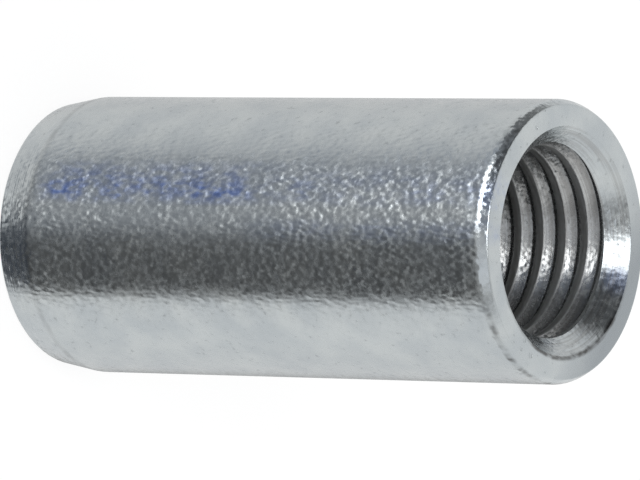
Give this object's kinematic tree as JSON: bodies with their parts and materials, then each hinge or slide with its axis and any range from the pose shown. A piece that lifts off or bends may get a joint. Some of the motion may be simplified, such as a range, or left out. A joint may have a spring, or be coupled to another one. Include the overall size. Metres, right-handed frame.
{
  "type": "round coupling nut",
  "caption": "Round steel coupling nut: a plated sleeve threaded right through, which joins two threaded rods end to end.",
  "frame": {"origin": "centre of the lower end face, the end with the long taper", "axes": "+Z along the axis of the thread, from the tapered end to the end with the short edge break"},
  "size_m": [0.021, 0.021, 0.045],
  "materials": {
    "zinc_plated_steel": "bright zinc plating, clear blue passivation, over a rolled skin with a fine orange-peel grain"
  },
  "bodies": {
    "root": {"coupling_nut": "zinc_plated_steel"}
  },
  "joints": []
}
